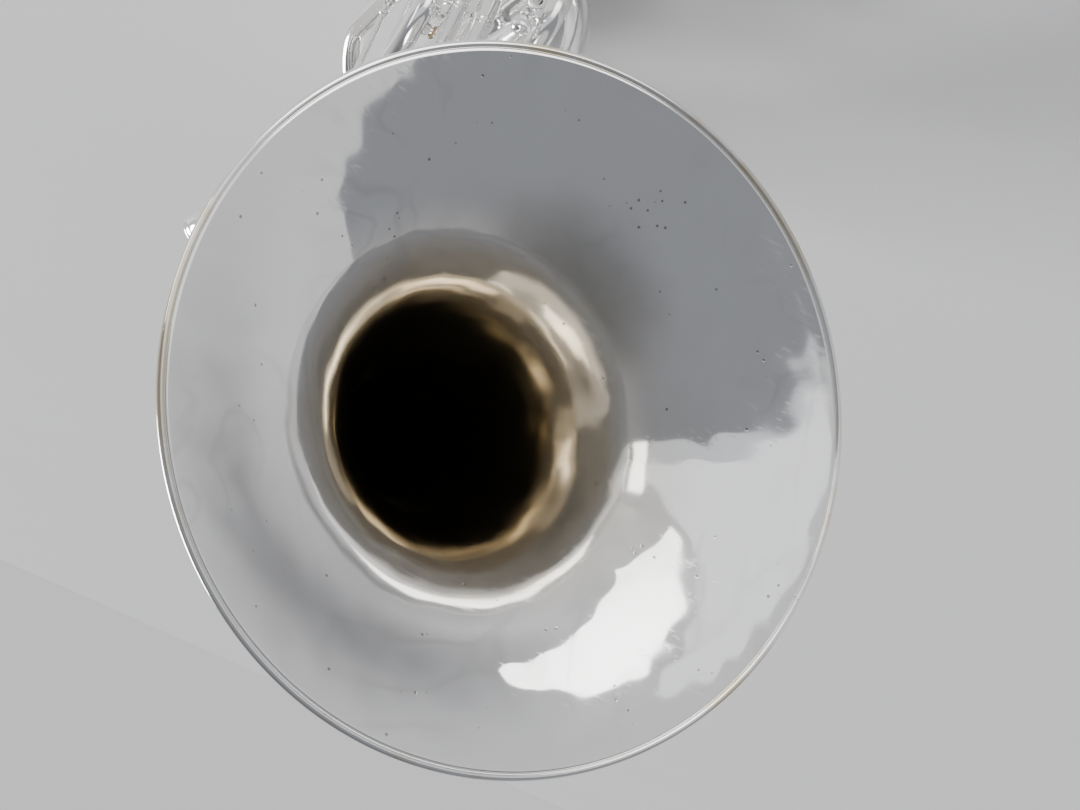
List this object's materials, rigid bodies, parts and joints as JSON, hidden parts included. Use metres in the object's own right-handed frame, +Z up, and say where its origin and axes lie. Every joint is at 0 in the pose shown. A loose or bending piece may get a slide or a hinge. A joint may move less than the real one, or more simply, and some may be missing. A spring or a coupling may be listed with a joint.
{
  "type": "two-valve marching bugle",
  "caption": "Silver-plated marching bugle with a wide flared bell, two piston valves, a main tuning slide with a water key, valve slides and a pull-off mouthpiece.",
  "frame": {"origin": "centre of the bounding box in X and Y, at the lowest point of the instrument in Z", "axes": "+X the way the bell points, +Y the player's left, +Z up; the bell's axis runs along X"},
  "size_m": [0.5144, 0.3, 0.4037],
  "materials": {
    "silver_plate": "silver plate over brass, polished",
    "bell_plate": "silver plate over brass, polished and lightly worn, with a warm golden throat",
    "monel": "bright drawn monel, satin",
    "spring_steel": "plain steel, oiled",
    "pearl": "pearl-like plastic, gloss",
    "felt": "dense wool felt, matt",
    "cork": "natural cork, matt"
  },
  "bodies": {
    "horn_body": {"bell_flare": "bell_plate", "bell_tail": "bell_plate", "bell_rim_wire": "bell_plate", "back_bow": "silver_plate", "bottom_tube": "silver_plate", "front_bow": "silver_plate", "upper_tube": "silver_plate", "outlet_tube": "silver_plate", "first_return_bow": "silver_plate", "loop_tubes": "silver_plate", "loop_bow": "silver_plate", "second_return_bow": "silver_plate", "valve_inlet_tube": "silver_plate", "valve_1_casing": "silver_plate", "valve_1_top_cap": "silver_plate", "valve_1_bottom_cap": "silver_plate", "valve_1_spring": "spring_steel", "valve_2_casing": "silver_plate", "valve_2_top_cap": "silver_plate", "valve_2_bottom_cap": "silver_plate", "valve_2_spring": "spring_steel", "valve_link": "silver_plate", "tuning_sleeves": "silver_plate", "slide_1_sleeves": "silver_plate", "slide_2_ports": "silver_plate", "slide_2_sleeves": "silver_plate", "leadpipe": "silver_plate", "mouthpiece_receiver": "silver_plate", "large_ferrules": "silver_plate", "small_ferrules": "silver_plate", "bell_braces": "silver_plate", "body_braces": "silver_plate", "finger_hook": "silver_plate", "lyre_socket": "silver_plate"},
    "valve_1_moving": {"valve_1_piston": "monel", "valve_1_stem": "monel", "valve_1_button": "silver_plate", "valve_1_pearl": "pearl", "valve_1_felt": "felt"},
    "valve_2_moving": {"valve_2_piston": "monel", "valve_2_stem": "monel", "valve_2_button": "silver_plate", "valve_2_pearl": "pearl", "valve_2_felt": "felt"},
    "tuning_slide": {"tuning_legs": "silver_plate", "tuning_crook": "silver_plate", "slide_ferrules": "silver_plate", "tuning_slide_brace": "silver_plate", "water_key_saddle": "silver_plate", "water_key_pin": "spring_steel"},
    "water_key": {"water_key_lever": "silver_plate", "water_key_cork": "cork", "water_key_spring": "spring_steel"},
    "slide_1": {"slide_1_legs": "silver_plate", "slide_1_crook": "silver_plate", "slide_1_ring": "silver_plate"},
    "slide_2": {"slide_2_legs": "silver_plate", "slide_2_crook": "silver_plate"},
    "mouthpiece_part": {"mouthpiece": "silver_plate"},
    "lyre_thumb_screw": {"lyre_screw": "silver_plate"}
  },
  "joints": [
    {"name": "valve_1_press", "type": "slide", "parent": "horn_body", "child": "valve_1_moving", "axis": [0, 0, -1], "range_m": [0, 0.016], "stiffness_N_per_m": 70, "springref_m": -0.02, "deforming": ["valve_1_spring"]},
    {"name": "valve_2_press", "type": "slide", "parent": "horn_body", "child": "valve_2_moving", "axis": [0, 0, -1], "range_m": [0, 0.016], "stiffness_N_per_m": 70, "springref_m": -0.02, "deforming": ["valve_2_spring"]},
    {"name": "tuning_slide_pull", "type": "slide", "parent": "horn_body", "child": "tuning_slide", "axis": [1, 0, 0], "range_m": [0, 0.04]},
    {"name": "slide_1_pull", "type": "slide", "parent": "horn_body", "child": "slide_1", "axis": [-1, 0, 0], "range_m": [0, 0.03]},
    {"name": "slide_2_pull", "type": "slide", "parent": "horn_body", "child": "slide_2", "axis": [0, 0, -1], "range_m": [0, 0.018]},
    {"name": "mouthpiece_pull", "type": "slide", "parent": "horn_body", "child": "mouthpiece_part", "axis": [-1, 0, 0], "range_m": [0, 0.024]},
    {"name": "water_key_open", "type": "hinge", "parent": "tuning_slide", "child": "water_key", "pos_m": [0.15181, 0.0792, 0.07567], "axis": [0.8943, 0, 0.4474], "range_deg": [0, 12], "stiffness_Nm_per_rad": 0.01, "springref_deg": -17.19},
    {"name": "lyre_screw_turn", "type": "hinge", "parent": "horn_body", "child": "lyre_thumb_screw", "pos_m": [0.1808, 0.049, 0.06872], "axis": [0, 0, 1], "range_deg": [0, 300]}
  ]
}
